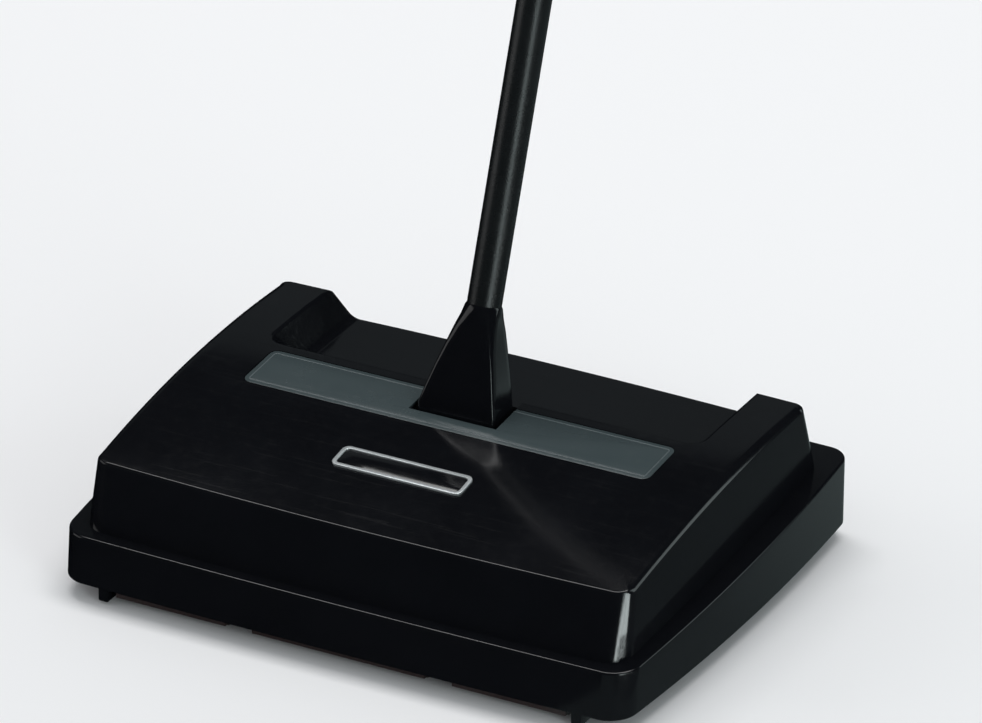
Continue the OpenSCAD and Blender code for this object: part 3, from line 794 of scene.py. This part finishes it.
def make_tyre(name):
    lo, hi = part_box(name)
    x = (lo[0] + hi[0]) / 2 / MM
    y = (lo[1] + hi[1]) / 2 / MM
    radius = (hi[2] - lo[2]) / 2 / MM
    half = (hi[0] - lo[0]) / 2 / MM
    inner = 24.5
    rings = []
    steps = 120
    tread = [(inner, -half + 0.4), (inner + 0.4, -half), (radius - 2.2, -half), (radius - 0.9, -half + 0.5),
             (radius - 0.2, -half + 1.3), (radius, -half + 2.2), (radius, -1.1), (radius - 0.8, -0.8),
             (radius - 0.8, 0.8), (radius, 1.1), (radius, half - 2.2), (radius - 0.2, half - 1.3),
             (radius - 0.9, half - 0.5), (radius - 2.2, half), (inner + 0.4, half), (inner, half - 0.4)]
    for r, z in tread:
        ring = []
        for i in range(steps):
            a = 2 * math.pi * i / steps
            cut = 0.55 if (i % 4 == 0 and r > radius - 0.5) else 0.0
            ring.append(((r - cut) * math.cos(a), (r - cut) * math.sin(a), z))
        rings.append(ring)
    verts, faces = rings_to_mesh(rings, closed_ring=True)
    tyre = new_object(name + "_tread", verts, faces, scale=1.0)
    clean(tyre, 0.0005)
    place(tyre, spin_matrix(x, y, radius))
    smooth(tyre, 28)
    dress(tyre, "tyre_rubber", name.replace("_tyre", ""))
    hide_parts(name)


def make_bristles():
    """Tufts of tapered strands in helical rows round the brush's core."""
    lo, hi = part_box("brush_bristles")
    core = 12.0
    reach = (hi[2] - lo[2]) / 2 / MM
    axis_z = (hi[2] + lo[2]) / 2 / MM
    half = hi[0] / MM - 2.0
    rows = 4
    tufts = 46
    strands = 16
    turn = math.radians(300)
    verts, faces = [], []
    for row in range(rows):
        for k in range(tufts):
            f = k / (tufts - 1)
            x = -half + 2 * half * f
            angle = 2 * math.pi * row / rows + turn * f
            for _ in range(strands):
                da = random.gauss(0, 0.075)
                dx = random.gauss(0, 1.0)
                tip_x = x + dx * 1.9
                tip_a = angle + da * 1.9
                length = reach - random.uniform(0.0, 0.9)
                base = strand_point(core - 0.5, angle + da, x + dx * 0.7)
                tip = strand_point(length, tip_a, max(-half - 1.5, min(half + 1.5, tip_x)))
                add_strand(verts, faces, base, tip, 0.26, 0.16)
    bristles = new_object("bristle_tufts", verts, faces, scale=1.0)
    place(bristles, Matrix.Translation((0, 0, axis_z * MM)) @ Matrix.Scale(MM, 4))
    bristles.data.shade_smooth()
    dress(bristles, "bristle", "brush")
    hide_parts("brush_bristles")


def strand_point(r, angle, x):
    return Vector((x, r * math.cos(angle), r * math.sin(angle)))


def add_strand(verts, faces, base, tip, r0, r1):
    axis = (tip - base).normalized()
    side = axis.cross(Vector((1, 0.2, 0.1))).normalized()
    other = axis.cross(side)
    start = len(verts)
    for centre, r in ((base, r0), (base.lerp(tip, 0.6), (r0 + r1) / 2), (tip, r1)):
        for i in range(4):
            a = 2 * math.pi * i / 4
            verts.append(tuple(centre + side * (r * math.cos(a)) + other * (r * math.sin(a))))
    for level in (0, 4):
        for i in range(4):
            j = (i + 1) % 4
            faces.append((start + level + i, start + level + j, start + level + 4 + j, start + level + 4 + i))
    faces.append((start + 3, start + 2, start + 1, start))
    faces.append((start + 8, start + 9, start + 10, start + 11))


def make_spring(name, side, body):
    """Wound coils on each pan's rod, with a leg that rests on the pan's wall."""
    turns = 11
    steps = 20
    coil_r = 2.85
    length = 13.8
    parts = []
    for mirror in (-1, 1):
        points = []
        for i in range(turns * steps + 1):
            a = 2 * math.pi * i / steps
            x = mirror * 60 + length * (i / (turns * steps) - 0.5)
            points.append((x, side * HINGE_Y[side] + coil_r * math.cos(a), PAN_Z + coil_r * math.sin(a)))
        leg_y = side * (HINGE_Y[side] - 2.48)
        first = points[0]
        points = [(first[0] - 0.2, leg_y, PAN_Z + 15), (first[0] - 0.2, leg_y, PAN_Z + 4)] + points
        verts, faces = sweep(points, 0.5, 8)
        parts.append(new_object("coil", verts, faces))
    spring = join(name + "_wire", parts)
    spring.data.shade_smooth()
    dress(spring, "steel", body)
    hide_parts(name)


def sweep(points, radius, sides):
    """Round wire through a list of points."""
    verts, faces = [], []
    count = len(points)
    up = Vector((0, 0.3, 1)).normalized()
    for i, p in enumerate(points):
        before = Vector(points[max(i - 1, 0)])
        after = Vector(points[min(i + 1, count - 1)])
        direction = (after - before).normalized()
        side = direction.cross(up)
        if side.length < 0.01:
            side = direction.cross(Vector((1, 0, 0)))
        side.normalize()
        up = side.cross(direction).normalized()
        for k in range(sides):
            a = 2 * math.pi * k / sides
            verts.append(tuple(Vector(p) + side * (radius * math.cos(a)) + up * (radius * math.sin(a))))
    for i in range(count - 1):
        for k in range(sides):
            j = (k + 1) % sides
            faces.append((i * sides + k, i * sides + j, (i + 1) * sides + j, (i + 1) * sides + k))
    faces.append(tuple(reversed(range(sides))))
    faces.append(tuple((count - 1) * sides + k for k in range(sides)))
    return verts, faces


# ---------------------------------------------------------------- CAD pieces that stay

def dress_frame_nodes():
    slots = {s["node"]: s["material_slot"] for s in frame["record"]["subparts"]}
    for name, obj in frame["nodes"].items():
        obj.data.materials.clear()
        obj.data.materials.append(MATERIALS[slots[name]])
        obj.data.shade_smooth()
        modifier = obj.modifiers.new("edges", "EDGE_SPLIT")
        modifier.split_angle = math.radians(32)


# ---------------------------------------------------------------- stage, light and camera

def glow_card(name, corners, color, strength, fade=None):
    """Card on the floor that only shows as a reflection; fade is (y, strength, y, strength)."""
    card = new_object(name, [(x, y, 0.0005) for x, y in corners], [(0, 1, 2, 3)], scale=1.0)
    mat = bpy.data.materials.new(name)
    mat.use_nodes = True
    nodes = mat.node_tree.nodes
    links = mat.node_tree.links
    nodes.remove(nodes["Principled BSDF"])
    emission = nodes.new("ShaderNodeEmission")
    emission.inputs["Color"].default_value = (*color, 1)
    emission.inputs["Strength"].default_value = strength
    if fade:
        split = nodes.new("ShaderNodeSeparateXYZ")
        links.new(nodes.new("ShaderNodeTexCoord").outputs["Object"], split.inputs["Vector"])
        faded = remap(nodes, links, split.outputs["Y"], fade[0], fade[2], fade[1], fade[3])
        links.new(faded, emission.inputs["Strength"])
    links.new(emission.outputs["Emission"], nodes["Material Output"].inputs["Surface"])
    card.data.materials.append(mat)
    card.visible_camera = False
    card.visible_diffuse = False
    card.visible_shadow = False
    card.visible_transmission = False


def make_stage():
    size = 14.0
    corners = [(-size, -size, 0), (size, -size, 0), (size, size, 0), (-size, size, 0)]
    floor = new_object("floor", corners, [(0, 1, 2, 3)], scale=1.0)
    mat = bpy.data.materials.new("floor")
    mat.use_nodes = True
    shader = mat.node_tree.nodes["Principled BSDF"]
    shader.inputs["Base Color"].default_value = (0.9, 0.9, 0.905, 1)
    shader.inputs["Roughness"].default_value = 0.6
    shader.inputs["Specular IOR Level"].default_value = 0.0
    floor.data.materials.append(mat)
    floor.visible_glossy = False
    glow_card("side_card", [(0.12, -0.30), (0.215, -0.30), (0.215, 1.6), (0.12, 1.6)],
              (0.80, 1.0, 1.0), 1.0, (0.0, 0.10, 0.3, 0.28))
    glow_card("far_side_card", [(0.215, -0.30), (1.4, -0.30), (1.4, 1.6), (0.215, 1.6)],
              (0.80, 1.0, 1.0), 1.0, (0.0, 0.05, 0.5, 0.10))
    glow_card("corner_card", [(0.289, -0.238), (0.601, -0.519), (0.755, -0.097), (0.335, -0.112)],
              (0.9, 1, 1), 12.0)
    world = bpy.data.worlds.new("studio")
    bpy.context.scene.world = world
    world.use_nodes = True
    background = world.node_tree.nodes["Background"]
    background.inputs["Color"].default_value = (0.95, 0.97, 1.0, 1)
    background.inputs["Strength"].default_value = 0.45
    world.cycles_visibility.glossy = False


def area_light(name, place_m, target_m, size, size_y, watts, color=(1, 1, 1)):
    data = bpy.data.lights.new(name, "AREA")
    data.shape = "RECTANGLE"
    data.size = size
    data.size_y = size_y
    data.energy = watts
    data.color = color
    obj = bpy.data.objects.new(name, data)
    obj.location = place_m
    obj.rotation_euler = (Vector(target_m) - Vector(place_m)).to_track_quat("-Z", "Y").to_euler()
    bpy.context.scene.collection.objects.link(obj)


def make_lights():
    target = (0, 0, 0.05)
    cool = (0.86, 1.0, 1.0)
    area_light("overhead", (-0.3, 0.8, 3.2), (-0.3, 0.8, 0), 3.4, 1.1, 62)
    area_light("left_softbox", (-3.0, -1.6, 1.2), target, 2.4, 2.2, 14)
    area_light("front_strip", (2.16, -1.45, 0.85), (0, 0, 0.6), 0.8, 1.5, 14, cool)
    area_light("right_softbox", (2.2, 2.0, 0.9), target, 0.8, 1.2, 4.5, cool)
    area_light("rear_fill", (-2.8, 5.3, 3.0), target, 5.0, 1.6, 2.2, (0.86, 0.98, 1.0))


def make_camera():
    picture_width = 982
    focal_pixels = 7522.08
    azimuth = math.radians(27.92)
    elevation = math.radians(26.85)
    roll = math.radians(0.2)
    back = Vector((math.sin(azimuth) * math.cos(elevation), -math.cos(azimuth) * math.cos(elevation),
                   math.sin(elevation)))
    right = Vector((math.cos(azimuth), math.sin(azimuth), 0))
    up = back.cross(right)
    rolled_right = right * math.cos(roll) + up * math.sin(roll)
    rolled_up = up * math.cos(roll) - right * math.sin(roll)
    data = bpy.data.cameras.new("camera")
    data.sensor_width = 36.0
    data.lens = focal_pixels * data.sensor_width / picture_width
    data.clip_end = 60
    camera = bpy.data.objects.new("camera", data)
    rotation = Matrix((rolled_right, rolled_up, back)).transposed().to_4x4()
    camera.matrix_world = Matrix.Translation((1.68976, -3.15084, 1.92938)) @ rotation
    bpy.context.scene.collection.objects.link(camera)
    bpy.context.scene.camera = camera
    bpy.context.scene.view_settings.view_transform = "Standard"


dress_frame_nodes()
make_hood()
make_skirt()
make_panel()
make_badge()
make_yoke()
make_grip()
for end in ("front", "rear"):
    for side in ("left", "right"):
        make_tyre("wheel_tyre_%s_%s" % (end, side))
make_bristles()
make_spring("front_pan_springs", -1, "front_pan_body")
make_spring("rear_pan_springs", 1, "rear_pan_body")
make_stage()
make_lights()
make_camera()
